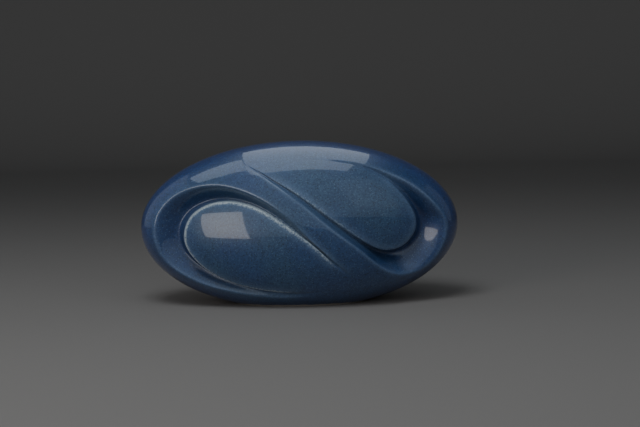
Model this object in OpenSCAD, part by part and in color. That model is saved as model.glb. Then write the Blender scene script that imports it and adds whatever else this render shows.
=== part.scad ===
// Oval funeral urn, slip cast in ceramic and glazed.
// A hollow egg-shaped body lies on its long side. Two swirling grooves are carved in its
// front, one round each end, and a raised band runs between them like the middle of an S.
// Its back is a plain dome. Ashes go in through a round hole in the flat underside, which a
// rubber stopper closes.
// X is the length, Y the depth with the carved front at -Y, and Z the height.
// The origin is on the ground, under the middle of the body.

/* [Overall size] */
// Length of the oval from end to end
urn_length = 320; // [270:1:390]
// Height of the whole oval, before the underside is cut flat
oval_height = 171; // [142:1:206]
// Depth from the carved front to the domed back
urn_depth = 146; // [122:1:176]
// Height cut off the bottom of the oval to make a flat foot
foot_cut = 7.5; // [6:0.5:11]

/* [Carving] */
// Greatest depth of the groove round the left end
left_groove_depth = 15.5; // [8:0.5:18]
// Greatest depth of the groove round the right end
right_groove_depth = 15.5; // [8:0.5:18]
// How far each panel sinks towards the thick end of its groove
panel_sink = 11; // [4:0.5:12]
// Softness of the raised panels' edges: larger is rounder
panel_edge_round = 3.2; // [1:0.1:5]
// Softness of the outer edge of each groove
ridge_round = 1.6; // [0.4:0.1:3]

/* [Walls] */
// Thickness of the ceramic wall
wall = 6; // [4:0.5:8]
// Thickness of the foot, round the filling hole
foot_wall = 8; // [7:0.5:10]

/* [Filling hole] */
// Bore of the filling hole
bore_diameter = 36; // [26:0.5:44]
// Width of the ledge that the stopper's flange bears on
ledge_width = 5; // [3:0.5:6]
// Depth of the recess that the flange sits in
recess_depth = 4.5; // [4:0.5:5.5]

/* [Stopper] */
// Clearance round the stopper, in the bore and in the recess
stopper_clearance = 0.3; // [0.1:0.05:0.6]
// Thickness of the flange
flange_thickness = 3; // [2:0.25:3.75]
// Length of the plug above the flange
plug_length = 13; // [9:0.5:18]
// Wall of the hollow plug
plug_wall = 3.5; // [2.5:0.5:5]
// Thickness of the grip across the hollow
grip_thickness = 4; // [3:0.5:6]

/* [Hidden] */
$fn = 96;

half_length = urn_length / 2;
half_height = oval_height / 2;
half_depth = urn_depth / 2;
centre_height = half_height - foot_cut;

seat_diameter = bore_diameter + 2 * ledge_width;
flange_diameter = seat_diameter - 2 * stopper_clearance;
plug_diameter = bore_diameter - 2 * stopper_clearance;
plug_chamfer = 1.5;
margin = 1;

// ---- Outlines of the carving ------------------------------------------------------------
// Seen from the front, a point is [along, up]: shares of the half length and half height,
// measured from the middle of the oval. Each outline runs anticlockwise from the thin tail
// of its groove, round the end of the urn, and back through the open side of its panel.

// Middle of each panel, which the mesh fans out from
LEFT_MIDDLE = [-0.44, -0.12];
RIGHT_MIDDLE = [0.45, 0.30];

// Outer edge of each groove. The third number is the groove's depth there, as a share of
// its greatest depth.
LEFT_RIDGE = [
    [0.31, -0.55, 0], [0.20, -0.32, 0.17], [0.075, -0.095, 0.23], [-0.05, 0.15, 0.29],
    [-0.23, 0.39, 0.43], [-0.425, 0.525, 0.63], [-0.60, 0.53, 0.78], [-0.77, 0.415, 0.88],
    [-0.88, 0.185, 0.94], [-0.895, -0.11, 0.96], [-0.815, -0.385, 0.94], [-0.625, -0.60, 0.8],
    [-0.39, -0.72, 0.5], [-0.105, -0.78, 0.2], [0.135, -0.74, 0]];
RIGHT_RIDGE = [
    [-0.31, 0.765, 0], [-0.187, 0.60, 0.15], [0.005, 0.345, 0.23], [0.195, 0.045, 0.3],
    [0.367, -0.22, 0.43], [0.505, -0.45, 0.78], [0.627, -0.552, 1], [0.77, -0.497, 1],
    [0.878, -0.287, 1], [0.918, -0.01, 0.96], [0.865, 0.208, 0.78], [0.716, 0.472, 0.42],
    [0.52, 0.66, 0.12], [0.326, 0.775, 0.02], [-0.015, 0.84, 0]];

// Edge of each raised panel, inside its groove
LEFT_PANEL = [
    [0.29, -0.58], [0.195, -0.355], [0.08, -0.14], [-0.065, 0.065], [-0.24, 0.275],
    [-0.405, 0.363], [-0.55, 0.335], [-0.667, 0.20], [-0.717, -0.02], [-0.693, -0.23],
    [-0.58, -0.45], [-0.385, -0.625], [-0.115, -0.715], [0.12, -0.70]];
RIGHT_PANEL = [
    [-0.30, 0.78], [-0.19, 0.645], [0.005, 0.42], [0.195, 0.15], [0.37, -0.10],
    [0.475, -0.228], [0.563, -0.27], [0.66, -0.213], [0.73, -0.04], [0.725, 0.17],
    [0.635, 0.43], [0.49, 0.637], [0.297, 0.752], [-0.015, 0.81]];

// Middle of the band that parts the two loops, from the foot up, between its two ends
BAND_LINE = [
    [0.39, -0.53], [0.30, -0.325], [0.195, -0.13], [0, 0.20], [-0.19, 0.48], [-0.37, 0.70]];
// Direction in which the band line meets the oval at the top, and how far beyond the
// corner of the foot it meets it at the bottom, in degrees
BAND_TOP_ANGLE = 118;
BAND_FOOT_ANGLE = 6;

// Steps between two points of an outline
OUTLINE_STEPS = 8;
// How much closer together the band line's steps are at its ends, from 0 to under 1
END_CROWDING = 0.65;
// Where a groove is deepest, from 0 at the panel's edge to 1 at the ridge, and the shape
// of its section on either side: 1 is a straight slope, and 2 is a parabola
DEEPEST_AT = 0.32;
PANEL_SIDE_POWER = 2;
RIDGE_SIDE_POWER = 1.35;
// The way each panel sinks, and how far from its middle the sinking begins and ends
LEFT_SINK_WAY = [-0.7, 0.7];
RIGHT_SINK_WAY = [0.7, -0.7];
SINK_REACH = 0.7;
// An edge's rounding is never more than this share of the groove's depth there
ROUND_LIMIT = 0.4;
// The carving goes in square to the oval's surface at 0, and straight back at 1
CARVE_STRAIGHT = 0.6;
// How far the softened groove inside the wall reaches past the groove's edges
INNER_SPREAD = 1.5;

// ---- Curves -------------------------------------------------------------------------------
function unit_point(angle) = [cos(angle), sin(angle)];
function angle_of(p) = atan2(p[1], p[0]);
function turned(angle) = angle - 360 * floor(angle / 360);

// A smooth curve through four neighbours, from p1 at t = 0 to p2 at t = 1
function smooth(p0, p1, p2, p3, t) =
    0.5 * (2 * p1 + (p2 - p0) * t + (2 * p0 - 5 * p1 + 4 * p2 - p3) * t * t
        + (3 * p1 - p0 - 3 * p2 + p3) * t * t * t);

// Points of the oval after angle a, up to and with angle b
function arc(a, b, count) = [for (i = [1:count]) unit_point(a + (b - a) * i / count)];

function closed_curve(p) =
    let(n = len(p))
    [for (i = [0:n - 1], j = [0:OUTLINE_STEPS - 1])
        smooth(p[(i + n - 1) % n], p[i], p[(i + 1) % n], p[(i + 2) % n], j / OUTLINE_STEPS)];

function open_curve(p, count) =
    let(n = len(p))
    [for (k = [0:count])
        let(w = k / count, x = (n - 1) * (w - END_CROWDING * sin(360 * w) / (2 * PI)),
            i = min(floor(x), n - 2))
        smooth(p[max(i - 1, 0)], p[i], p[i + 1], p[min(i + 2, n - 1)], x - i)];

// An outline seen from a point inside it: [angle, column] rows for lookup(), with the
// angles counted from the first point. Column 2 is the distance, and 3 the depth.
function seen_from(middle, curve) =
    let(first = angle_of(curve[0] - [middle[0], middle[1], 0]))
    [for (p = curve)
        let(d = [p[0] - middle[0], p[1] - middle[1]])
        [turned(angle_of(d) - first + 0.001), norm(d), p[2]]];
function column(table, c) =
    concat([for (row = table) [row[0], row[c]]], [[360, table[0][c]]]);

// ---- Surface ------------------------------------------------------------------------------
// A shell is described by [half length, half height, half depth, inside], where inside is
// 1 for the cavity. Its flat foot is at the height foot_level, from the oval's middle.
function on_oval(shell, p, side) =
    let(rise = sqrt(max(0, 1 - p[0] * p[0] - p[1] * p[1])))
    [shell[0] * p[0], side * shell[2] * rise, shell[1] * p[1]];

function inward(shell, q) =
    let(out = [q[0] / pow(shell[0], 2), q[1] / pow(shell[2], 2), q[2] / pow(shell[1], 2)],
        way = [0, CARVE_STRAIGHT, 0] - (1 - CARVE_STRAIGHT) * out / norm(out))
    way / norm(way);

// How deep the surface is carved: s runs from 0 at the panel's edge to 1 at the ridge
function carved(depth, s) =
    let(panel_side = max(0, DEEPEST_AT - s) / DEEPEST_AT,
        ridge_side = max(0, s - DEEPEST_AT) / (1 - DEEPEST_AT),
        hollow = depth * (1 - pow(panel_side, PANEL_SIDE_POWER)
            - pow(ridge_side, RIDGE_SIDE_POWER)),
        softness = min(s < 0.5 ? panel_edge_round : ridge_round, ROUND_LIMIT * depth))
    (hollow + sqrt(hollow * hollow + softness * softness)) / 2;
function softly_carved(depth, s) =
    let(across = min(1, abs(s - 0.5) / INNER_SPREAD))
    depth * pow(cos(90 * across), 2);

// How far a panel sinks at p, which lies along from the panel's middle. The loss is made up
// again by the ridge.
function eased(x) = let(c = min(1, max(0, x))) c * c * (3 - 2 * c);
function sunk(along, s) =
    panel_sink * eased((along / SINK_REACH + 1) / 2) * (1 - eased(s));

// One point of the front. s is where it lies across the groove, and fade takes the carving
// away towards the edge of its half.
function front_point(shell, p, along, depth, s, fade) =
    let(q = on_oval(shell, p, -1),
        groove = shell[3] == 1 ? softly_carved(depth, s) : carved(depth, s))
    q + fade * (groove + sunk(along, s)) * inward(shell, q);

// ---- Mesh of one shell --------------------------------------------------------------------
// rings = [shares from the middle to the panel's edge, shares across the groove,
//          shares from the ridge to the edge of the half]
function half_points(shell, middle, sink_way, edge, ridge, panel, greatest, rings) =
    let(ridge_seen = seen_from(middle, ridge),
        panel_seen = seen_from(middle, panel),
        ridge_at = column(ridge_seen, 1),
        depth_at = column(ridge_seen, 2),
        panel_at = column(panel_seen, 1),
        ridge_first = angle_of(ridge[0] - [middle[0], middle[1], 0]),
        panel_first = angle_of(panel[0] - middle),
        spokes = [for (e = edge)
            let(d = e - middle, a = angle_of(d), whole = norm(d),
                r1 = lookup(turned(a - panel_first), panel_at),
                r2 = lookup(turned(a - ridge_first), ridge_at))
            [d / whole, whole, r1, max(r2, r1 + 0.008),
                greatest * max(0, lookup(turned(a - ridge_first), depth_at)),
                1 + pow(norm(e), 12), sink_way * d / whole]])
    concat(
        [front_point(shell, middle, 0, 0, -9, 1)],
        [for (f = rings[0], k = spokes)
            let(r = k[2] * f)
            front_point(shell, middle + k[0] * r, k[6] * r, k[4],
                (r - k[2]) / (k[3] - k[2]), 1)],
        [for (s = rings[1], k = spokes)
            let(r = k[2] + s * (k[3] - k[2]))
            front_point(shell, middle + k[0] * r, k[6] * r, k[4], s, 1)],
        [for (t = rings[2], k = spokes)
            let(r = k[3] + (k[1] - k[3]) * (1 - pow(1 - t, k[5])))
            front_point(shell, middle + k[0] * r, k[6] * r, k[4],
                (r - k[2]) / (k[3] - k[2]), 1 - pow(t, 4))]);

// Triangles of a fan and the rings round it. ring(i) is a list of the point numbers of
// ring i, all of one length.
function ring_faces(middle, rings) =
    let(n = len(rings[0]))
    concat(
        [for (j = [0:n - 1]) [middle, rings[0][(j + 1) % n], rings[0][j]]],
        [for (i = [0:len(rings) - 2], j = [0:n - 1])
            let(j2 = (j + 1) % n)
            each [[rings[i][j], rings[i][j2], rings[i + 1][j2]],
                [rings[i][j], rings[i + 1][j2], rings[i + 1][j]]]]);

function reversed(list) = [for (i = [len(list) - 1:-1:0]) list[i]];
function flipped(faces) = [for (f = faces) [f[0], f[2], f[1]]];

// The whole closed shell, as [points, faces]. counts = [steps along the band line, steps
// round the left above and below its end, steps along the foot, steps round the right
// below and above its end, rings on the back]
function shell_mesh(shell, foot_level, counts, rings) =
    let(foot_share = foot_level / shell[1],
        foot_angle = asin(foot_share),
        band_end = foot_angle + BAND_FOOT_ANGLE,
        corner = unit_point(180 - foot_angle),
        band = open_curve(concat([unit_point(band_end)], BAND_LINE,
            [unit_point(BAND_TOP_ANGLE)]), counts[0]),
        left_arc = concat(arc(BAND_TOP_ANGLE, 180, counts[1][0]),
            arc(180, 180 - foot_angle, counts[1][1])),
        foot = [for (i = [1:counts[2]])
            [corner[0] * cos(180 * i / counts[2]), foot_share]],
        last = [unit_point(foot_angle + BAND_FOOT_ANGLE / 2)],
        right_arc = concat(arc(band_end, 0, counts[3][0]),
            arc(0, BAND_TOP_ANGLE * (1 - 1 / counts[3][1]), counts[3][1] - 1)),
        left_side = concat(left_arc, foot, last),
        left_edge = concat(band, left_side),
        right_edge = concat(reversed(band), right_arc),
        nl = len(left_edge), nr = len(right_edge), nb = len(band),
        levels = len(rings[0]) + len(rings[1]) + len(rings[2]),
        // point numbers: left half, right half, band, left side, right arc, back
        right_start = 1 + nl * levels,
        band_start = right_start + 1 + nr * levels,
        side_start = band_start + nb,
        arc_start = side_start + len(left_side),
        back_start = arc_start + len(right_arc),
        left_numbers = concat([for (i = [0:nb - 1]) band_start + i],
            [for (i = [0:len(left_side) - 1]) side_start + i]),
        right_numbers = concat([for (i = [nb - 1:-1:0]) band_start + i],
            [for (i = [0:len(right_arc) - 1]) arc_start + i]),
        left_rings = concat([for (i = [0:levels - 1])
            [for (j = [0:nl - 1]) 1 + i * nl + j]], [left_numbers]),
        right_rings = concat([for (i = [0:levels - 1])
            [for (j = [0:nr - 1]) right_start + 1 + i * nr + j]], [right_numbers]),
        // the back's own edge: round the oval, with the far side of the foot
        outline = concat([band[0]], right_arc, [band[nb - 1]], left_side),
        no = len(outline),
        foot_first = 1 + len(right_arc) + 1 + len(left_arc),
        back_shares = [for (i = [1:counts[4] - 1]) sin(90 * i / counts[4])],
        far_foot = back_start + 1 + no * (counts[4] - 1),
        back_edge = [for (j = [0:no - 1])
            j == 0 ? band_start
            : j <= len(right_arc) ? arc_start + j - 1
            : j == len(right_arc) + 1 ? band_start + nb - 1
            : (j >= foot_first && j < foot_first + counts[2] - 1)
                ? far_foot + j - foot_first
                : side_start + j - len(right_arc) - 2],
        back_rings = concat([for (i = [0:counts[4] - 2])
            [for (j = [0:no - 1]) back_start + 1 + i * no + j]], [back_edge]),
        near = [for (i = [0:counts[2]]) side_start + len(left_arc) - 1 + i],
        far = [for (i = [0:counts[2]])
            i == 0 ? near[0] : i == counts[2] ? near[counts[2]] : far_foot + i - 1],
        points = concat(
            half_points(shell, LEFT_MIDDLE, LEFT_SINK_WAY, left_edge, closed_curve(LEFT_RIDGE),
                closed_curve(LEFT_PANEL), left_groove_depth, rings),
            half_points(shell, RIGHT_MIDDLE, RIGHT_SINK_WAY, right_edge, closed_curve(RIGHT_RIDGE),
                closed_curve(RIGHT_PANEL), right_groove_depth, rings),
            [for (p = concat(band, left_side, right_arc)) on_oval(shell, p, -1)],
            [[0, shell[2], 0]],
            [for (f = back_shares, p = outline) on_oval(shell, p * f, 1)],
            [for (i = [0:counts[2] - 2]) on_oval(shell, foot[i], 1)]),
        faces = concat(
            ring_faces(0, left_rings),
            ring_faces(right_start, right_rings),
            flipped(ring_faces(back_start, back_rings)),
            [for (i = [0:counts[2] - 1])
                each [[near[i], near[i + 1], far[i + 1]], [near[i], far[i + 1], far[i]]]]))
    [[for (p = points) p + [0, 0, centre_height]], faces];

module shell_solid(shell, foot_level, counts, rings) {
    mesh = shell_mesh(shell, foot_level, counts, rings);
    // at either end of the foot the near and far points are one, which leaves a face flat
    usable = [for (f = mesh[1]) if (f[0] != f[1] && f[1] != f[2] && f[0] != f[2]) f];
    polyhedron(points = mesh[0], faces = usable, convexity = 6);
}

// ---- Pieces -------------------------------------------------------------------------------
module urn_body() {
    outside = [half_length, half_height, half_depth, 0];
    cavity = [half_length - wall, half_height - wall, half_depth - wall, 1];
    color("#2a3f5c")
    difference() {
        shell_solid(outside, -centre_height,
            [28, [14, 16], 14, [14, 28], 9],
            [[0.25, 0.5, 0.72, 0.88, 0.96, 1], [0.12, 0.28, 0.5, 0.72, 0.88, 1],
                [0.12, 0.35, 0.6, 0.82]]);
        shell_solid(cavity, foot_wall - centre_height,
            [14, [8, 10], 8, [10, 18], 5],
            [[0.5, 0.85], [0, 0.33, 0.67, 1], [0.5]]);
        translate([0, 0, -margin])
            cylinder(d = bore_diameter, h = foot_wall + 2 * margin);
        translate([0, 0, -margin])
            cylinder(d = seat_diameter, h = recess_depth + margin);
    }
}

module stopper() {
    flange_bottom = recess_depth - flange_thickness;
    plug_top = recess_depth + plug_length;
    hollow_radius = plug_diameter / 2 - plug_wall;
    hollow_top = plug_top - plug_wall;
    color("#2b2b2d")
    union() {
        rotate_extrude()
            polygon([
                [hollow_radius, flange_bottom], [flange_diameter / 2, flange_bottom],
                [flange_diameter / 2, recess_depth], [plug_diameter / 2, recess_depth],
                [plug_diameter / 2, plug_top - plug_chamfer],
                [plug_diameter / 2 - plug_chamfer, plug_top],
                [0, plug_top], [0, hollow_top], [hollow_radius, hollow_top]]);
        intersection() {
            cylinder(r = hollow_radius + margin / 2, h = plug_top);
            translate([-half_length, -grip_thickness / 2, flange_bottom])
                cube([urn_length, grip_thickness, hollow_top - flange_bottom + margin / 2]);
        }
    }
}

urn_body();
stopper();
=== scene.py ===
# %% [markdown]
# # A glazed funeral urn
#
# The object is a hollow ceramic urn, 32 cm long, lying on its long side. Its front carries
# two swirling grooves, one round each end, and a raised band that runs between them. It was
# slip cast, so the carving is soft where the mould was full and crisp where the glaze
# pulled thin. The CAD model gives its size and place. This script gives it a surface fine
# enough to mirror a light cleanly, and the blue speckled glaze.

import math

import bpy
import numpy as np
from mathutils import Matrix, Quaternion, Vector
from mathutils.kdtree import KDTree


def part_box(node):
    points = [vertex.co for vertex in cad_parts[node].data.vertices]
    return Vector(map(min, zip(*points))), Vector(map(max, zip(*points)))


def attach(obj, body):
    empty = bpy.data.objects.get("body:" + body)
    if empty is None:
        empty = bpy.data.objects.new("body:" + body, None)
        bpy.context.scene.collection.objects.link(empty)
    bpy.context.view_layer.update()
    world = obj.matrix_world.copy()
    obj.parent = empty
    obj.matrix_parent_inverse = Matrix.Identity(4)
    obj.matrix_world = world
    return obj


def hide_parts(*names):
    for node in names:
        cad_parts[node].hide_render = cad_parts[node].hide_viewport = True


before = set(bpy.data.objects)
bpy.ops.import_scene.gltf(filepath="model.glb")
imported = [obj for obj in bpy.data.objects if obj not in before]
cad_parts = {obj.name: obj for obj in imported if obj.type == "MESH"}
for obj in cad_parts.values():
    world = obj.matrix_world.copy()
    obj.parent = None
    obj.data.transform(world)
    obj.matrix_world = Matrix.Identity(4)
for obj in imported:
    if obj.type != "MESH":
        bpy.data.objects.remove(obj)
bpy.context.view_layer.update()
body_low, body_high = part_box("urn_body")

# %% [markdown]
# ## The body's sizes
#
# The outside is an ellipsoid with a flat foot cut from its underside, so four numbers carry
# its form. Three come from the frame. How much was cut off below has to be said again,
# because a box can't show it, and so do the wall and the filling hole.

# %% Sizes of the body, in metres
FOOT_CUT = 0.0075
WALL = 0.006
FOOT_WALL = 0.008
BORE_RADIUS = 0.018
SEAT_RADIUS = 0.023
RECESS_DEPTH = 0.0045

half_length = body_high.x
half_depth = -body_low.y
half_height = (body_high.z + FOOT_CUT) / 2
centre_height = half_height - FOOT_CUT
print("half sizes", round(half_length, 4), round(half_depth, 4), round(half_height, 4))

# %% [markdown]
# ## The outlines of the carving
#
# Seen from the front, each groove is a comma: a thin tail on the diagonal that swells as it
# turns round the end of the urn and then dies away. A mesh grid that ignored these lines
# would break their sharp rims into steps. So the two edges of each groove are drawn first,
# as smooth closed curves through a few points, and the grid is laid along them. A point is
# a share of the half length and half height, measured from the middle of the oval.

# %% Outlines, anticlockwise from the tip of each tail
LEFT_MIDDLE = (-0.44, -0.12)
RIGHT_MIDDLE = (0.45, 0.30)

# The third number is the groove's depth there, as a share of its greatest depth.
LEFT_RIDGE = [
    (0.31, -0.55, 0), (0.20, -0.32, 0.17), (0.075, -0.095, 0.23), (-0.05, 0.15, 0.29),
    (-0.23, 0.39, 0.43), (-0.425, 0.525, 0.63), (-0.60, 0.53, 0.78), (-0.77, 0.415, 0.88),
    (-0.88, 0.185, 0.94), (-0.895, -0.11, 0.96), (-0.815, -0.385, 0.94), (-0.625, -0.60, 0.8),
    (-0.39, -0.72, 0.5), (-0.105, -0.78, 0.2), (0.135, -0.74, 0)]
RIGHT_RIDGE = [
    (-0.31, 0.765, 0), (-0.187, 0.60, 0.15), (0.005, 0.345, 0.23), (0.195, 0.045, 0.3),
    (0.367, -0.22, 0.43), (0.505, -0.45, 0.78), (0.627, -0.552, 1), (0.77, -0.497, 1),
    (0.878, -0.287, 1), (0.918, -0.01, 0.96), (0.865, 0.208, 0.78), (0.716, 0.472, 0.42),
    (0.52, 0.66, 0.12), (0.326, 0.775, 0.02), (-0.015, 0.84, 0)]
LEFT_PANEL = [
    (0.29, -0.58), (0.195, -0.355), (0.08, -0.14), (-0.065, 0.065), (-0.24, 0.275),
    (-0.405, 0.363), (-0.55, 0.335), (-0.667, 0.20), (-0.717, -0.02), (-0.693, -0.23),
    (-0.58, -0.45), (-0.385, -0.625), (-0.115, -0.715), (0.12, -0.70)]
RIGHT_PANEL = [
    (-0.30, 0.78), (-0.19, 0.645), (0.005, 0.42), (0.195, 0.15), (0.37, -0.10),
    (0.475, -0.228), (0.563, -0.27), (0.66, -0.213), (0.73, -0.04), (0.725, 0.17),
    (0.635, 0.43), (0.49, 0.637), (0.297, 0.752), (-0.015, 0.81)]

# The middle of the band, from the foot up, and where it meets the oval, in degrees
BAND_LINE = [
    (0.39, -0.53), (0.30, -0.325), (0.195, -0.13), (0, 0.20), (-0.19, 0.48), (-0.37, 0.70)]
BAND_TOP_ANGLE = 118
BAND_FOOT_ANGLE = 6


def unit_points(angles):
    """Points of the unit circle at angles in degrees."""
    turns = np.radians(np.atleast_1d(angles))
    return np.column_stack([np.cos(turns), np.sin(turns)])


def smooth(points, before, after, steps):
    """A smooth curve through points, with one more known point before and after them."""
    p = np.vstack([before, points, after])
    t = np.arange(steps)[:, None] / steps
    spans = [
        0.5 * (2 * b + (c - a) * t + (2 * a - 5 * b + 4 * c - d) * t ** 2
               + (3 * b - a - 3 * c + d) * t ** 3)
        for a, b, c, d in zip(p, p[1:], p[2:], p[3:])]
    return np.vstack(spans)


def closed_curve(points, steps=48):
    """A smooth curve through points and back to the first."""
    points = np.array(points, float)
    return smooth(np.vstack([points, points[:1]]), points[-1:], points[1:2], steps)


def open_curve(points, count, crowding=0.65, steps=64):
    """count + 1 points along a curve, closer together towards its ends."""
    points = np.array(points, float)
    curve = np.vstack([smooth(points, points[:1], points[-1:], steps), points[-1:]])
    share = np.linspace(0, 1, count + 1)
    share = share - crowding * np.sin(2 * np.pi * share) / (2 * np.pi)
    at = share * (len(curve) - 1)
    return np.column_stack([np.interp(at, np.arange(len(curve)), c) for c in curve.T])


outlines = {
    "left": (LEFT_MIDDLE, closed_curve(LEFT_RIDGE), closed_curve(LEFT_PANEL)),
    "right": (RIGHT_MIDDLE, closed_curve(RIGHT_RIDGE), closed_curve(RIGHT_PANEL))}
print("outline points", {k: (len(v[1]), len(v[2])) for k, v in outlines.items()})

# %% [markdown]
# ## The groove's section
#
# Across a groove the surface drops quickly from the panel's edge, rounds a floor that lies
# nearer the panel than the ridge, and climbs back more gently. Two power curves that meet
# at the floor give that lopsided hollow. The climb starts in a small round of its own,
# because a bare power curve bends too sharply there for a glaze that mirrors. Both edges
# are then softened, less at the ridge, which is crisp, than at the panel, where the glaze
# runs over a fuller curve. Each panel also sinks towards the thick end of its groove, so
# that it tilts like a petal. The cut goes partly square to the oval and partly straight
# back, the way a mould draws.

# %% The carved surface
GROOVE_DEPTH = 0.0155
PANEL_SIDE_POWER = 2.0
RIDGE_SIDE_POWER = 1.35
DEEPEST_AT = 0.32
PANEL_SINK = 0.011
SINK_WAY = {"left": (-0.7, 0.7), "right": (0.7, -0.7)}
SINK_REACH = 0.7
FLOOR_ROUND = 0.16
PANEL_EDGE_ROUND = 0.0032
RIDGE_ROUND = 0.0016
ROUND_LIMIT = 0.4
CARVE_STRAIGHT = 0.6
INNER_SPREAD = 1.5


def eased(x):
    """0 below 0, 1 above 1 and smooth between them."""
    x = np.clip(x, 0, 1)
    return x * x * (3 - 2 * x)


def on_oval(shell, p, side):
    """Points of the oval at p. side is -1 on the front and 1 on the back."""
    rise = np.sqrt(np.maximum(0, 1 - (p ** 2).sum(-1)))
    return np.stack([shell[0] * p[..., 0], side * shell[2] * rise, shell[1] * p[..., 1]], -1)


def way_in(shell, q):
    """The direction in which the carving goes in at q."""
    out = q / np.array([shell[0], shell[2], shell[1]]) ** 2
    out = out / np.linalg.norm(out, axis=-1, keepdims=True)
    way = np.array([0, CARVE_STRAIGHT, 0]) - (1 - CARVE_STRAIGHT) * out
    return way / np.linalg.norm(way, axis=-1, keepdims=True)


def carved(depth, s):
    """Depth of the cut. s runs from 0 at the panel's edge to 1 at the ridge."""
    panel_side = np.maximum(0, DEEPEST_AT - s) / DEEPEST_AT
    ridge_side = np.maximum(0, s - DEEPEST_AT) / (1 - DEEPEST_AT)
    flat = FLOOR_ROUND ** RIDGE_SIDE_POWER
    climb = (ridge_side ** 2 + FLOOR_ROUND ** 2) ** (RIDGE_SIDE_POWER / 2) - flat
    climb = climb / ((1 + FLOOR_ROUND ** 2) ** (RIDGE_SIDE_POWER / 2) - flat)
    hollow = depth * (1 - panel_side ** PANEL_SIDE_POWER - climb)
    softness = PANEL_EDGE_ROUND + (RIDGE_ROUND - PANEL_EDGE_ROUND) * eased(s)
    softness = np.minimum(softness, ROUND_LIMIT * depth)
    return (hollow + np.sqrt(hollow ** 2 + softness ** 2)) / 2


def sunk(side, middle, p, s):
    """How far a panel sinks towards the thick end of its groove. It's made up by the ridge."""
    along = (p - middle) @ np.array(SINK_WAY[side])
    return PANEL_SINK * eased((along / SINK_REACH + 1) / 2) * (1 - eased(s))


def softly_carved(depth, s):
    """The same groove on the inside of the wall, where the cast follows it loosely."""
    across = np.minimum(1, np.abs(s - 0.5) / INNER_SPREAD)
    return depth * np.cos(np.pi / 2 * across) ** 2


# %% [markdown]
# ## Laying the grid
#
# Each half of the front is a fan of spokes from the middle of its panel to its edge. Every
# spoke carries the same rings: some up to the panel's edge, some across the groove, some
# out to the rim. Because each ring keeps its place relative to the two edges, the rims run
# along the mesh and never across it. The halves share the points of the band's middle.

# %% Rings and spokes
# Least width that the rings across a groove are given, as a share of the half sizes
LEAST_WIDTH = 0.008
# The rings outside a ridge gather towards the rim of the oval, but not towards the band
RIM_POWER = 12
# How late the carving fades out between the ridge and the edge of its half
FADE_POWER = 4
# Two more points between the corner of the foot and the band's end, as shares of the way
CORNER_SHARES = np.array([0.33, 0.67])
# Steps along the band, the left end above and below its middle, the foot, and the right end
# below and above its middle, then the rings of the back. The foot has the same number in both.
OUTER_STEPS = (150, (80, 90), 60, (80, 150), 34)
INNER_STEPS = (36, (20, 24), 60, (24, 40), 12)


def crowded(count, power):
    """Shares from 0 to 1 without the 0, closer together towards 1."""
    return 1 - (1 - np.arange(1, count + 1) / count) ** power


def swung(count):
    """Shares from 0 to 1 without the 0, closer together towards both ends."""
    return (1 - np.cos(np.pi * np.arange(1, count + 1) / count)) / 2


def spread(count, power):
    """Shares from 0 to 1 without either, closer together towards 0."""
    return (np.arange(1, count) / count) ** power


def seen_from(middle, curve):
    """Angle, counted from the curve's first point, and distance of its points."""
    d = curve[:, :2] - middle
    first = math.degrees(math.atan2(d[0, 1], d[0, 0]))
    angle = (np.degrees(np.arctan2(d[:, 1], d[:, 0])) - first + 1e-6) % 360
    return first, np.append(angle, 360), np.linalg.norm(np.vstack([d, d[:1]]), axis=1)


def front_half(shell, side, edge, rings, inside):
    """Points of one half of the front, ring by ring, with how deep each is carved."""
    middle, ridge, panel = outlines[side]
    middle = np.array(middle)
    d = edge - middle
    whole = np.linalg.norm(d, axis=1)
    angle = np.degrees(np.arctan2(d[:, 1], d[:, 0]))
    first, at, far = seen_from(middle, panel)
    r_panel = np.interp((angle - first) % 360, at, far)
    first, at, far = seen_from(middle, ridge)
    r_ridge = np.maximum(np.interp((angle - first) % 360, at, far), r_panel + LEAST_WIDTH)
    share = np.append(ridge[:, 2], ridge[0, 2])
    depth = GROOVE_DEPTH * np.maximum(0, np.interp((angle - first) % 360, at, share))
    crowd = 1 + np.linalg.norm(edge, axis=1) ** RIM_POWER
    width = r_ridge - r_panel
    radii = [r_panel * f for f in rings[0]]
    radii += [r_panel + width * s for s in rings[1]]
    radii += [r_ridge + (whole - r_ridge) * (1 - (1 - t) ** crowd) for t in rings[2]]
    fades = [1.0] * (len(rings[0]) + len(rings[1])) + [1 - t ** FADE_POWER for t in rings[2]]
    radii = np.array(radii)
    p = middle + radii[..., None] * (d / whole[:, None])
    s = (radii - r_panel) / width
    fade = np.array(fades)[:, None]
    groove = (softly_carved if inside else carved)(depth, s) * fade
    cut = groove + sunk(side, middle, p, s) * fade
    q = on_oval(shell, p, -1)
    q = q + cut[..., None] * way_in(shell, q)
    centre = on_oval(shell, middle, -1)[None]
    centre = centre + sunk(side, middle, middle, 0.0) * way_in(shell, centre)
    return np.vstack([centre, q.reshape(-1, 3)]), np.append(0, groove.ravel())


def ring_faces(middle, rings):
    """A fan from middle to the first ring, and a strip between each two rings."""
    rings = np.array(rings)
    ahead = np.roll(rings, -1, axis=1)
    fan = [(middle, b, a) for a, b in zip(rings[0], ahead[0])]
    strips = np.stack([rings[:-1], ahead[:-1], ahead[1:], rings[1:]], -1)
    return fan + [tuple(f) for f in strips.reshape(-1, 4)]


def flipped(faces):
    return [tuple(reversed(f)) for f in faces]


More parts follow.
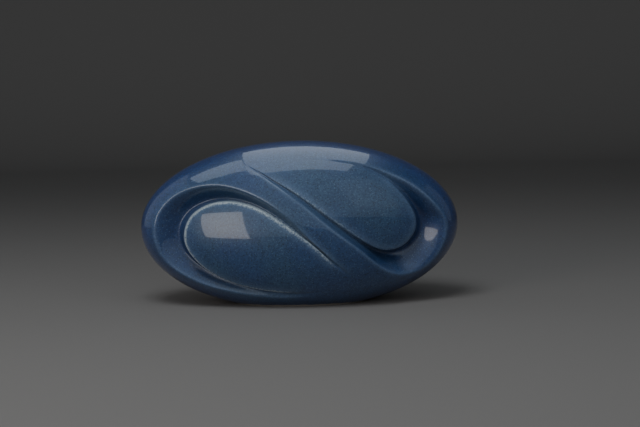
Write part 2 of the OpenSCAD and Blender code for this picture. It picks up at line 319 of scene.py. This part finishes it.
def shell_mesh(shell, foot_level, counts, rings, inside):
    """Points, faces, cut depths and the loop round the foot of one whole shell."""
    band_steps, left_steps, foot_steps, right_steps, back_rings = counts
    foot_share = foot_level / shell[1]
    foot_angle = math.degrees(math.asin(foot_share))
    band_end = foot_angle + BAND_FOOT_ANGLE
    band = open_curve([tuple(unit_points(band_end)[0])] + BAND_LINE
                      + [tuple(unit_points(BAND_TOP_ANGLE)[0])], band_steps)

    def arc(a, b, count):
        return unit_points(a + (b - a) * np.arange(1, count + 1) / count)

    left_arc = np.vstack([arc(BAND_TOP_ANGLE, 180, left_steps[0]),
                          arc(180, 180 - foot_angle, left_steps[1])])
    swing = np.pi * np.arange(1, foot_steps + 1) / foot_steps
    foot = np.column_stack([left_arc[-1, 0] * np.cos(swing), np.full(foot_steps, foot_share)])
    last = unit_points(foot_angle + BAND_FOOT_ANGLE * CORNER_SHARES)
    right_arc = np.vstack([arc(band_end, 0, right_steps[0]),
                           arc(0, BAND_TOP_ANGLE, right_steps[1])[:-1]])
    left_side = np.vstack([left_arc, foot, last])

    left, left_cut = front_half(shell, "left", np.vstack([band, left_side]), rings, inside)
    right, right_cut = front_half(shell, "right", np.vstack([band[::-1], right_arc]),
                                  rings, inside)
    shared = on_oval(shell, np.vstack([band, left_side, right_arc]), -1)
    outline = np.vstack([band[:1], right_arc, band[-1:], left_side])
    shares = np.sin(np.pi / 2 * np.arange(1, back_rings) / back_rings)
    back = on_oval(shell, outline[None] * shares[:, None, None], 1).reshape(-1, 3)
    pole = np.array([[0, shell[2], 0]])
    far_foot = on_oval(shell, foot[:-1], 1)
    points = np.vstack([left, right, shared, pole, back, far_foot])
    cuts = np.zeros(len(points))
    cuts[:len(left)] = left_cut
    cuts[len(left):len(left) + len(right)] = right_cut

    starts = np.cumsum([0, len(left), len(right), len(band), len(left_side),
                        len(right_arc), 1, len(back)])
    n_left, n_right = len(band) + len(left_side), len(band) + len(right_arc)
    band_at = starts[2] + np.arange(len(band))
    side_at = starts[3] + np.arange(len(left_side))
    arc_at = starts[4] + np.arange(len(right_arc))
    far_at = starts[7] + np.arange(len(far_foot))
    left_rings = np.vstack([1 + np.arange(len(left) - 1).reshape(-1, n_left),
                            np.append(band_at, side_at)])
    right_rings = np.vstack([
        starts[1] + 1 + np.arange(len(right) - 1).reshape(-1, n_right),
        np.append(band_at[::-1], arc_at)])
    back_side = side_at.copy()
    back_side[len(left_arc):len(left_arc) + len(far_at)] = far_at
    back_edge = np.concatenate([band_at[:1], arc_at, band_at[-1:], back_side])
    back_grid = np.vstack([starts[6] + np.arange(len(back)).reshape(-1, len(outline)),
                           back_edge])
    faces = ring_faces(0, left_rings) + ring_faces(starts[1], right_rings)
    faces += flipped(ring_faces(starts[5], back_grid))
    near = side_at[len(left_arc) - 1:len(left_arc) + foot_steps]
    foot_loop = np.append(near, far_at[::-1])
    if inside:
        faces = flipped(faces)
    return points + np.array([0, 0, centre_height]), faces, cuts, foot_loop


outer_rings = [crowded(34, 1.5), swung(30), spread(24, 1.5)]
inner_rings = [crowded(6, 1.3), swung(8), spread(4, 1.0)]
outer = shell_mesh((half_length, half_height, half_depth), -centre_height,
                   OUTER_STEPS, outer_rings, False)
inner = shell_mesh((half_length - WALL, half_height - WALL, half_depth - WALL),
                   FOOT_WALL - centre_height, INNER_STEPS, inner_rings, True)
print("outside", len(outer[0]), "points; cavity", len(inner[0]), "points")

# %% [markdown]
# ## The filling hole
#
# The foot is flat, with a stepped hole: a wide recess for the stopper's flange, and a bore.
# Both shells end in an oval loop with the same number of points, so the hole is a set of
# round loops strung between them, each joined to the next.

# %% Join the shells through the foot
CHAMFER = 0.0006


def join_shells(outer, inner):
    """Points of the whole body, the faces of both shells and the faces of the hole."""
    loop_out, loop_in = outer[3], inner[3] + len(outer[0])
    points = [outer[0], inner[0]]
    start = len(outer[0]) + len(inner[0])
    count = len(loop_out)
    steps = count // 2
    swing = np.pi * np.arange(steps + 1) / steps
    swing = np.append(swing, np.pi + swing[1:-1])
    circle = np.column_stack([-np.cos(swing), -np.sin(swing)])
    levels = [(SEAT_RADIUS + CHAMFER, 0), (SEAT_RADIUS, CHAMFER), (SEAT_RADIUS, RECESS_DEPTH),
              (BORE_RADIUS + CHAMFER, RECESS_DEPTH), (BORE_RADIUS, RECESS_DEPTH + CHAMFER),
              (BORE_RADIUS, FOOT_WALL - CHAMFER), (BORE_RADIUS + CHAMFER, FOOT_WALL)]
    loops = [loop_out]
    for radius, height in levels:
        points.append(np.column_stack([circle * radius, np.full(count, height)]))
        loops.append(start + np.arange(count))
        start += count
    loops.append(loop_in)
    loops = np.array(loops)
    ahead = np.roll(loops, -1, axis=1)
    strips = np.stack([loops[:-1], loops[1:], ahead[1:], ahead[:-1]], -1).reshape(-1, 4)
    faces = outer[1] + [tuple(np.array(f) + len(outer[0])) for f in inner[1]]
    return np.vstack(points), faces, [tuple(f) for f in strips]


points, shell_faces, hole_faces = join_shells(outer, inner)


def new_mesh(name, points, faces):
    mesh = bpy.data.meshes.new(name)
    mesh.from_pydata([tuple(p) for p in points], [], [tuple(map(int, f)) for f in faces])
    mesh.update()
    piece = bpy.data.objects.new(name, mesh)
    bpy.context.scene.collection.objects.link(piece)
    return piece


urn = new_mesh("urn", points, shell_faces + hole_faces)
smooth_flags = [True] * len(shell_faces) + [False] * len(hole_faces)
urn.data.polygons.foreach_set("use_smooth", smooth_flags)
triangles = sum(len(p.vertices) - 2 for p in urn.data.polygons)
print("urn", len(points), "points,", triangles, "triangles")


def volume_of(mesh):
    """Signed volume. Its sign tells which way most of the faces point."""
    mesh.calc_loop_triangles()
    co = np.array([v.co for v in mesh.vertices])
    tri = np.array([t.vertices for t in mesh.loop_triangles])
    a, b, c = co[tri[:, 0]], co[tri[:, 1]], co[tri[:, 2]]
    return float(np.einsum("ij,ij->i", a, np.cross(b, c)).sum() / 6)


# The faces of the foot and its hole are wound against those of the shells, so only the
# sign is meant here. The number isn't the volume of the ceramic.
volume = volume_of(urn.data)
print("signed volume, in cubic centimetres:", round(volume * 1e6, 1))
if volume < 0:
    urn.data.flip_normals()
    print("turned the faces outwards")

# %% [markdown]
# ## Marks for the pale edges and the painted shade
#
# The pale lines along the edges are partly glaze that ran thin or broke over a sharp edge,
# and partly painted highlight. They are strongest on one side of each panel, where the edge
# faces the lamps. The grooves are painted darker the deeper they are cut: painted shade.
# Each point of the mesh is told how near it is to those places. The lines are sampled finely
# on the finished surface, and a tree of their points finds the nearest one quickly.

# %% Store the marks on the mesh
LINE_STEPS = 220
EDGE_REACH = 0.0036
SOFT_REACH = 0.0055
RIDGE_REACH = 0.0022
FULL_GROOVE = 0.003
# On each panel, the way in which its pale edge (part broken glaze, part painted highlight)
# is strongest, and how strong it is behind and ahead
BARE_AND_LIT_WAY = {"left": (-0.6, 0.8, 0.80, 1.40), "right": (-0.9, -0.4, 0.05, 0.60)}


def edge_line(side, at_ridge, bare_and_lit_way):
    """Points along an edge of a groove, with how strongly the edge shows there."""
    middle, ridge, panel = outlines[side]
    first, at, _ = seen_from(np.array(middle), ridge)
    share = np.append(ridge[:, 2], ridge[0, 2])
    drawn = {"left": (LEFT_PANEL, LEFT_RIDGE), "right": (RIGHT_PANEL, RIGHT_RIDGE)}
    curve = closed_curve(drawn[side][int(at_ridge)], LINE_STEPS)[:, :2]
    d = curve - middle
    angle = (np.degrees(np.arctan2(d[:, 1], d[:, 0])) - first) % 360
    depth = GROOVE_DEPTH * np.maximum(0, np.interp(angle, at, share))
    shell = (half_length, half_height, half_depth)
    q = on_oval(shell, curve, -1)
    cut = carved(depth, float(at_ridge)) + sunk(side, np.array(middle), curve, float(at_ridge))
    q = q + cut[:, None] * way_in(shell, q)
    strength = np.minimum(1, depth / FULL_GROOVE)
    # Broken glaze with painted highlight: the panel's edge is made paler towards one side
    if bare_and_lit_way:
        bare_and_lit = BARE_AND_LIT_WAY[side]
        toward = d @ np.array(bare_and_lit[:2]) / np.linalg.norm(d, axis=1)
        strength = strength * (bare_and_lit[2] + (bare_and_lit[3] - bare_and_lit[2]) * eased((toward + 1) / 2))
    return q + np.array([0, 0, centre_height]), strength


def nearness(points, at_ridge, reach, bare_and_lit_way=False):
    """1 on an edge, fading to 0 away from it and where its groove dies away."""
    found = [edge_line(side, at_ridge, bare_and_lit_way) for side in ("left", "right")]
    line = np.vstack([f[0] for f in found])
    strength = np.concatenate([f[1] for f in found])
    tree = KDTree(len(line))
    for i, p in enumerate(line):
        tree.insert(p, i)
    tree.balance()
    hits = [tree.find(p) for p in points]
    away = np.array([h[2] for h in hits])
    return strength[[h[1] for h in hits]] * np.exp(-(away / reach) ** 2)


def store(mesh, name, values):
    mesh.attributes.new(name, "FLOAT", "POINT").data.foreach_set("value", values)


front = len(outer[0])
marks = {name: np.zeros(len(points)) for name in ("panel_edge", "soft_edge", "ridge",
                                                  "hollow")}
# Panel edges and ridges: partly thin or broken glaze, partly painted highlight
marks["panel_edge"][:front] = nearness(points[:front], False, EDGE_REACH, bare_and_lit_way=True)
marks["soft_edge"][:front] = nearness(points[:front], False, SOFT_REACH)
marks["ridge"][:front] = nearness(points[:front], True, RIDGE_REACH)
# Painted shade: the grooves are made darker the deeper they are cut
marks["hollow"][:front] = np.sqrt(np.maximum(0, outer[2]) / GROOVE_DEPTH)
for name, values in marks.items():
    store(urn.data, name, values.astype(np.float32))
print("marks", {k: round(float(v.max()), 3) for k, v in marks.items()})

# %% [markdown]
# ## Node helpers
#
# Two effects turn up in more than one material: small specks, and slow uneven patches. Each
# is a node group built once, with named inputs, and every material places it with its own
# values. The groups give out masks only. Each shader stays in its own material.

# %% Helpers for node trees
def add(tree, kind, values=None, **settings):
    """Add a node, set its options by attribute and its inputs by name or number."""
    node = tree.nodes.new(kind)
    for name, value in settings.items():
        setattr(node, name, value)
    for name, value in (values or {}).items():
        node.inputs[name].default_value = value
    return node


def join(tree, source, target):
    tree.links.new(source, target)


def math_node(tree, operation, a, b=None, clamp=False):
    """A Math node on two sockets or numbers. Returns its output socket."""
    node = add(tree, "ShaderNodeMath", operation=operation, use_clamp=clamp)
    for slot, value in enumerate((a, b)):
        if isinstance(value, (int, float)):
            node.inputs[slot].default_value = value
        elif value is not None:
            join(tree, value, node.inputs[slot])
    return node.outputs[0]


def weaker(tree, mask, share, clamp=False):
    """A mask at a share of its strength."""
    return math_node(tree, "MULTIPLY", mask, share, clamp=clamp)


def between(tree, value, low, high):
    """0 below low, 1 above high and smooth between them."""
    node = add(tree, "ShaderNodeMapRange", interpolation_type="SMOOTHSTEP")
    join(tree, value, node.inputs["Value"])
    for name, bound in (("From Min", low), ("From Max", high)):
        if isinstance(bound, (int, float)):
            node.inputs[name].default_value = bound
        else:
            join(tree, bound, node.inputs[name])
    return node.outputs["Result"]


def mixed(tree, mask, below, above, blend="MIX"):
    """A colour mix: below where the mask is 0 and above where it is 1."""
    node = add(tree, "ShaderNodeMix", data_type="RGBA", blend_type=blend)
    factor, a, b = (node.inputs[i] for i in (0, 6, 7))
    for socket, value in ((factor, mask), (a, below), (b, above)):
        if isinstance(value, tuple):
            socket.default_value = value + (1.0,)
        elif isinstance(value, (int, float)):
            socket.default_value = value
        else:
            join(tree, value, socket)
    return node.outputs[2]


def new_group(name, inputs):
    """A shader group that turns a Vector and some numbers into one Mask."""
    group = bpy.data.node_groups.new(name, "ShaderNodeTree")
    group.interface.new_socket("Vector", in_out="INPUT", socket_type="NodeSocketVector")
    for label, value in inputs.items():
        socket = group.interface.new_socket(label, in_out="INPUT",
                                            socket_type="NodeSocketFloat")
        socket.default_value = value
    group.interface.new_socket("Mask", in_out="OUTPUT", socket_type="NodeSocketFloat")
    return group, add(group, "NodeGroupInput").outputs, add(group, "NodeGroupOutput").inputs


def speckle_group():
    """Round specks of uneven size, some cells empty."""
    group, given, out = new_group("speckle", {"Scale": 500.0, "Size": 0.35, "Kept": 0.5})
    cells = add(group, "ShaderNodeTexVoronoi", feature="F1")
    join(group, given["Vector"], cells.inputs["Vector"])
    join(group, given["Scale"], cells.inputs["Scale"])
    draw = add(group, "ShaderNodeSeparateColor")
    join(group, cells.outputs["Color"], draw.inputs[0])
    kept = math_node(group, "LESS_THAN", draw.outputs[0], given["Kept"])
    size = math_node(group, "MULTIPLY", given["Size"],
                     math_node(group, "ADD", math_node(group, "MULTIPLY",
                                                       draw.outputs[1], 0.8), 0.4))
    inner = math_node(group, "MULTIPLY", size, 0.5)
    far = between(group, cells.outputs["Distance"], inner, size)
    dot = math_node(group, "SUBTRACT", 1.0, far)
    join(group, math_node(group, "MULTIPLY", dot, kept), out["Mask"])
    return group


def patch_group():
    """Slow, uneven patches that run from 0 to 1."""
    group, given, out = new_group("patches", {"Scale": 20.0, "Low": 0.4, "High": 0.6,
                                              "Detail": 3.0})
    noise = add(group, "ShaderNodeTexNoise", {"Roughness": 0.55})
    join(group, given["Vector"], noise.inputs["Vector"])
    join(group, given["Scale"], noise.inputs["Scale"])
    join(group, given["Detail"], noise.inputs["Detail"])
    join(group, between(group, noise.outputs[0], given["Low"], given["High"]), out["Mask"])
    return group


speckle, patches = speckle_group(), patch_group()


def mask_of(tree, group, vector, **values):
    """Place a group and return its Mask."""
    node = add(tree, "ShaderNodeGroup", node_tree=group)
    join(tree, vector, node.inputs["Vector"])
    for name, value in values.items():
        node.inputs[name].default_value = value
    return node.outputs["Mask"]


def mark(tree, name):
    """A mark stored on the mesh, as a mask."""
    return add(tree, "ShaderNodeAttribute", attribute_name=name).outputs["Fac"]


def new_material(name):
    """An empty material with a Principled shader. Returns tree, shader, object position."""
    material = bpy.data.materials.new(name)
    material.use_nodes = True
    tree = material.node_tree
    tree.nodes.clear()
    shader = add(tree, "ShaderNodeBsdfPrincipled")
    join(tree, shader.outputs[0], add(tree, "ShaderNodeOutputMaterial").inputs[0])
    place = add(tree, "ShaderNodeTexCoord").outputs["Object"]
    return material, tree, shader, place


print("groups", [g.name for g in bpy.data.node_groups])

# %% [markdown]
# ## The blue glaze
#
# Two blues lie in this glaze: a greyer teal that settles on the front, and a strong cobalt
# that shows round the outside and on the back. A fine mottle and small dark and pale specks
# float in it. Along the panels' edges and on the ridges it thinned to a paler blue. On the
# left panel it broke, so the pale body colour shows through in a ragged line. These pale
# lines also carry painted highlight, where the edges would catch the lamps. The grooves are
# painted darker the deeper they are cut, as painted shade. At the foot it was wiped off
# before firing. It is glossy, so a clear coat carries the reflections over a softer layer
# of colour.

# %% Make the glaze
TEAL = (0.042, 0.098, 0.180)
COBALT = (0.024, 0.060, 0.215)
DEEP = (0.010, 0.028, 0.085)
DARK_SPECK = (0.010, 0.022, 0.040)
PALE_SPECK = (0.13, 0.22, 0.34)
# Pale edge colours: thin or broken glaze, with painted highlight laid into them
BROKEN_GLAZE_AND_HIGHLIGHT = (0.50, 0.56, 0.57)
THIN_GLAZE_AND_SHEEN = (0.16, 0.24, 0.37)
BARE_CLAY = (0.45, 0.40, 0.34)

# How strongly each mask brings in its colour
STRENGTH = {"drift": 0.45, "cloud": 0.25, "hollow": 0.50, "mottle": 0.5, "dark": 0.7,
            "pale": 0.5, "soft": 0.55, "broken_and_highlight": 0.9, "thin": 0.4}
# From where to where, going back, the teal gives way to cobalt, in metres
COBALT_FROM, COBALT_FULL = -0.052, -0.012
# How unevenly an edge shows: its least strength, and how much more it can have
RAGGED_LEAST, RAGGED_SWING = 0.45, 0.6
# Strength of an edge at which its pale line of broken glaze and painted highlight starts,
# and at which it is full
BREAK_FROM, BREAK_FULL = 0.22, 0.95
# The wiped foot: least height, how far its line wanders above that, and how soft it is
WIPED, WIPED_WANDER, WIPED_SOFT = 0.0007, 0.0009, 0.0004
CLAY_ROUGHNESS, GLAZE_ROUGHNESS = 0.85, 0.35
COAT_ROUGHNESS, COAT_IOR = 0.035, 1.5
# How much of the fine grain is in the relief, next to the slow ripple
GRAIN_SHARE = 0.12


def glaze_colour(tree, place):
    """The glaze's colour away from edges, and the height above the foot."""
    drift = mask_of(tree, patches, place, Scale=14.0, Low=0.35, High=0.65)
    cloud = mask_of(tree, patches, place, Scale=90.0, Low=0.3, High=0.7)
    axes = add(tree, "ShaderNodeSeparateXYZ")
    join(tree, place, axes.inputs[0])
    side_on = between(tree, axes.outputs["Y"], COBALT_FROM, COBALT_FULL)
    blue = math_node(tree, "MAXIMUM", side_on, weaker(tree, drift, STRENGTH["drift"]))
    colour = mixed(tree, blue, TEAL, COBALT)
    colour = mixed(tree, weaker(tree, cloud, STRENGTH["cloud"]), colour, DEEP)
    # Painted shade in the grooves, darker where they are deeper
    hollow = weaker(tree, mark(tree, "hollow"), STRENGTH["hollow"], clamp=True)
    colour = mixed(tree, hollow, colour, DEEP)
    mottle = mask_of(tree, patches, place, Scale=520.0, Low=0.35, High=0.65, Detail=2.0)
    colour = mixed(tree, weaker(tree, mottle, STRENGTH["mottle"]), colour, DEEP)
    dark = mask_of(tree, speckle, place, Scale=640.0, Size=0.50, Kept=0.55)
    pale = mask_of(tree, speckle, place, Scale=820.0, Size=0.46, Kept=0.34)
    colour = mixed(tree, weaker(tree, dark, STRENGTH["dark"]), colour, DARK_SPECK)
    colour = mixed(tree, weaker(tree, pale, STRENGTH["pale"]), colour, PALE_SPECK)
    return colour, axes.outputs["Z"]


def make_glaze():
    material, tree, shader, place = new_material("blue_glaze")
    colour, height = glaze_colour(tree, place)
    ragged = mask_of(tree, patches, place, Scale=600.0, Low=0.3, High=0.7)
    uneven = math_node(tree, "ADD", weaker(tree, ragged, RAGGED_SWING), RAGGED_LEAST)
    # Thinner glaze and painted sheen near the panels' edges
    soft = math_node(tree, "MULTIPLY", mark(tree, "soft_edge"), uneven)
    soft = weaker(tree, soft, STRENGTH["soft"], clamp=True)
    colour = mixed(tree, soft, colour, THIN_GLAZE_AND_SHEEN)
    # Broken glaze and painted highlight right on the panels' edges
    edge = math_node(tree, "MULTIPLY", mark(tree, "panel_edge"), uneven)
    broken_and_highlight = between(tree, edge, BREAK_FROM, BREAK_FULL)
    colour = mixed(tree, weaker(tree, broken_and_highlight, STRENGTH["broken_and_highlight"]), colour, BROKEN_GLAZE_AND_HIGHLIGHT)
    # Thinner glaze and painted highlight along the ridges
    thin = math_node(tree, "MULTIPLY", mark(tree, "ridge"), uneven)
    thin = weaker(tree, thin, STRENGTH["thin"], clamp=True)
    colour = mixed(tree, thin, colour, THIN_GLAZE_AND_SHEEN)
    wobble = mask_of(tree, patches, place, Scale=120.0, Low=0.2, High=0.8)
    lowest = math_node(tree, "ADD", weaker(tree, wobble, WIPED_WANDER), WIPED)
    glazed = between(tree, height, lowest, math_node(tree, "ADD", lowest, WIPED_SOFT))
    colour = mixed(tree, glazed, BARE_CLAY, colour)
    join(tree, colour, shader.inputs["Base Color"])
    join(tree, glazed, shader.inputs["Coat Weight"])
    smoother = weaker(tree, glazed, CLAY_ROUGHNESS - GLAZE_ROUGHNESS)
    rough = math_node(tree, "SUBTRACT", CLAY_ROUGHNESS, smoother)
    join(tree, rough, shader.inputs["Roughness"])
    shader.inputs["Coat Roughness"].default_value = COAT_ROUGHNESS
    shader.inputs["Coat IOR"].default_value = COAT_IOR
    ripple = add(tree, "ShaderNodeTexNoise", {"Scale": 130.0, "Detail": 1.0})
    join(tree, place, ripple.inputs["Vector"])
    grain = add(tree, "ShaderNodeTexNoise", {"Scale": 900.0, "Detail": 2.0})
    join(tree, place, grain.inputs["Vector"])
    skin = math_node(tree, "ADD", ripple.outputs[0],
                     weaker(tree, grain.outputs[0], GRAIN_SHARE))
    bump = add(tree, "ShaderNodeBump", {"Strength": 0.25, "Distance": 0.0002})
    join(tree, skin, bump.inputs["Height"])
    join(tree, bump.outputs[0], shader.inputs["Normal"])
    return material


glaze = make_glaze()
print("glaze", len(glaze.node_tree.nodes), "nodes")

# %% [markdown]
# ## Bare clay and rubber
#
# The flat foot stands on the kiln shelf, so it is left unglazed: dry, warm grey clay with a
# few dark specks of grit. The stopper is moulded rubber, dull and nearly black.

# %% Make the plain materials
CLAY_DARK = (0.30, 0.26, 0.21)
GRIT = (0.10, 0.08, 0.06)
RUBBER = (0.020, 0.020, 0.021)
RUBBER_WORN = (0.055, 0.054, 0.052)


def dull_material(name, low, high, speck, scale, roughness, relief):
    """An uneven, specked material without shine. scale is that of its patches."""
    material, tree, shader, place = new_material(name)
    uneven = mask_of(tree, patches, place, Scale=scale, Low=0.3, High=0.7)
    specks = mask_of(tree, speckle, place, Scale=900.0, Size=0.4, Kept=0.12)
    colour = mixed(tree, uneven, low, high)
    colour = mixed(tree, specks, colour, speck)
    join(tree, colour, shader.inputs["Base Color"])
    join(tree, math_node(tree, "ADD", math_node(tree, "MULTIPLY", uneven, 0.1), roughness),
         shader.inputs["Roughness"])
    grain = add(tree, "ShaderNodeTexNoise", {"Scale": 1500.0, "Detail": 3.0})
    join(tree, place, grain.inputs["Vector"])
    bump = add(tree, "ShaderNodeBump", {"Strength": relief, "Distance": 0.0002})
    join(tree, grain.outputs[0], bump.inputs["Height"])
    join(tree, bump.outputs[0], shader.inputs["Normal"])
    return material


clay = dull_material("bare_clay", CLAY_DARK, BARE_CLAY, GRIT, 60.0, 0.8, 0.6)
rubber = dull_material("stopper_rubber", RUBBER, RUBBER_WORN, RUBBER_WORN, 110.0, 0.55, 0.3)

urn.data.materials.append(glaze)
urn.data.materials.append(clay)
slots = np.zeros(len(shell_faces) + len(hole_faces), np.int32)
slots[len(shell_faces):] = 1
urn.data.polygons.foreach_set("material_index", slots)
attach(urn, "root")
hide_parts("urn_body")

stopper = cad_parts["stopper"]
stopper.data.materials.clear()
stopper.data.materials.append(rubber)
print("materials", [m.name for m in bpy.data.materials])

# %% [markdown]
# ## The stage
#
# A plain paper sweep: a floor that curves up into a backdrop, so that no edge shows behind
# the urn. It is made as one strip of points swept sideways. Its colour is painted darker
# towards the back: painted shade, standing in for light that falls off away from the object.

# %% Floor and backdrop
FLOOR_GREY = (0.270, 0.243, 0.220)
# Painted shade: the far grey, and the run over which the floor's colour darkens to it
FAR_SHADED_GREY = (0.145, 0.131, 0.119)
SHADE_RUN = (-0.5, 1.5)
SWEEP_FRONT, SWEEP_BACK, SWEEP_HEIGHT, SWEEP_BEND = -6.0, 2.6, 3.0, 0.8
SWEEP_HALF_WIDTH = 5.0
SWEEP_STEPS = 24


def make_sweep():
    turn = np.linspace(0, np.pi / 2, SWEEP_STEPS)
    profile = [(SWEEP_FRONT, 0.0)]
    profile += [(SWEEP_BACK - SWEEP_BEND + SWEEP_BEND * math.sin(t),
                 SWEEP_BEND * (1 - math.cos(t))) for t in turn]
    profile += [(SWEEP_BACK, SWEEP_HEIGHT)]
    sides = (-SWEEP_HALF_WIDTH, SWEEP_HALF_WIDTH)
    points = [(x, y, z) for x in sides for y, z in profile]
    n = len(profile)
    faces = [(i, n + i, n + i + 1, i + 1) for i in range(n - 1)]
    sweep = new_mesh("sweep", points, faces)
    sweep.data.polygons.foreach_set("use_smooth", [True] * len(faces))
    return sweep


sweep = make_sweep()
paper, tree, shader, place = new_material("sweep_paper")
axes = add(tree, "ShaderNodeSeparateXYZ")
join(tree, place, axes.inputs[0])
# Painted shade: the paper's colour darkens towards the back
shade = between(tree, axes.outputs["Y"], *SHADE_RUN)
join(tree, mixed(tree, shade, FLOOR_GREY, FAR_SHADED_GREY), shader.inputs["Base Color"])
shader.inputs["Roughness"].default_value = 0.9
shader.inputs["Specular IOR Level"].default_value = 0.1
sweep.data.materials.append(paper)

# %% [markdown]
# ## Light and camera
#
# A glossy glaze shows its lights as pictures, so the lamps have two jobs and are set up for
# each. Two soft boxes overhead show in the top as a broad pale patch with an arm, and give
# no dull surface any light. One above the front does the opposite: it shades the body and
# throws the shadow, and never shows. A window at the front left shows in the left panel, a dim panel
# at the front right in the other, and a tall strip beyond each end brightens the outline.
# A faint glow in front fills the rest. The camera stands well back, a little above the
# urn, and is turned slightly about its own axis.

# %% Lights
def soft_box(name, place, aim, size, power, tint=(1, 1, 1), roll=0.0):
    """An area lamp at place that faces aim, turned about its own axis by roll degrees."""
    lamp = bpy.data.lights.new(name, "AREA")
    lamp.shape = "RECTANGLE"
    lamp.size, lamp.size_y = size
    lamp.energy = power
    lamp.color = tint
    light = bpy.data.objects.new(name, lamp)
    bpy.context.scene.collection.objects.link(light)
    way = Vector(aim) - Vector(place)
    light.location = place
    turn = way.to_track_quat("-Z", "Y") @ Quaternion((0, 0, 1), math.radians(roll))
    light.rotation_euler = turn.to_euler()
    return light


TARGET = (0, 0, centre_height)
COOL = (0.80, 0.90, 1.0)
overhead = soft_box("overhead", (0.05, 0.33, 1.35), (0.05, 0.33, 0), (0.9, 1.5), 6.4, COOL)
overhead_left = soft_box("overhead_left", (-0.72, 0.12, 1.35), (-0.72, 0.12, 0),
                         (0.62, 0.62), 1.7, COOL)
top_soft = soft_box("top_soft", (-0.25, -0.85, 1.4), (0, 0, 0), (0.65, 0.65), 8.6, COOL)
for only_mirrored in (overhead, overhead_left):
    only_mirrored.visible_diffuse = False
top_soft.visible_glossy = False
soft_box("window", (-1.08, -1.38, 0.40), (0, 0, 0.15), (0.66, 1.10), 5.6, (1.0, 0.95, 0.90),
         roll=12)
soft_box("side_panel", (1.15, -1.35, 1.15), TARGET, (0.9, 1.5), 0.6, COOL)
soft_box("right_strip", (1.6, 0.3, 0.6), TARGET, (0.7, 1.3), 0.4, COOL)
soft_box("left_strip", (-1.6, 0.35, 0.75), TARGET, (1.5, 1.7), 2.4, COOL)

GLOW_WAY = (0.0, -0.88, 0.47)
GLOW_START, GLOW_FULL = 0.30, 0.98
ROOM, GLOW = 0.05, 0.45

world = bpy.data.worlds.new("studio")
world.use_nodes = True
sky = world.node_tree
background = sky.nodes["Background"]
toward = add(sky, "ShaderNodeVectorMath", {1: GLOW_WAY}, operation="DOT_PRODUCT")
join(sky, add(sky, "ShaderNodeTexCoord").outputs["Generated"], toward.inputs[0])
glow = between(sky, toward.outputs["Value"], GLOW_START, GLOW_FULL)
level = math_node(sky, "ADD", math_node(sky, "MULTIPLY", glow, GLOW), ROOM)
join(sky, level, background.inputs["Strength"])
background.inputs["Color"].default_value = COOL + (1,)
bpy.context.scene.world = world

# %% Camera
CAMERA_DISTANCE = 1.6
CAMERA_HEIGHT_ANGLE = 6.0
CAMERA_ROLL = 1.2
LENS = 89.0
SENSOR_WIDTH = 36.0
AIM = (0.0212, 0, centre_height + 0.0111)

camera_data = bpy.data.cameras.new("camera")
camera_data.lens = LENS
camera_data.sensor_width = SENSOR_WIDTH
camera = bpy.data.objects.new("camera", camera_data)
bpy.context.scene.collection.objects.link(camera)
lift = math.radians(CAMERA_HEIGHT_ANGLE)
camera.location = (AIM[0], AIM[1] - CAMERA_DISTANCE * math.cos(lift),
                   AIM[2] + CAMERA_DISTANCE * math.sin(lift))
look = (Vector(AIM) - camera.location).to_track_quat("-Z", "Y").to_matrix().to_4x4()
camera.matrix_world = (Matrix.Translation(camera.location) @ look
                       @ Matrix.Rotation(math.radians(-CAMERA_ROLL), 4, "Z"))
bpy.context.scene.camera = camera
print("camera", [round(v, 3) for v in camera.location])
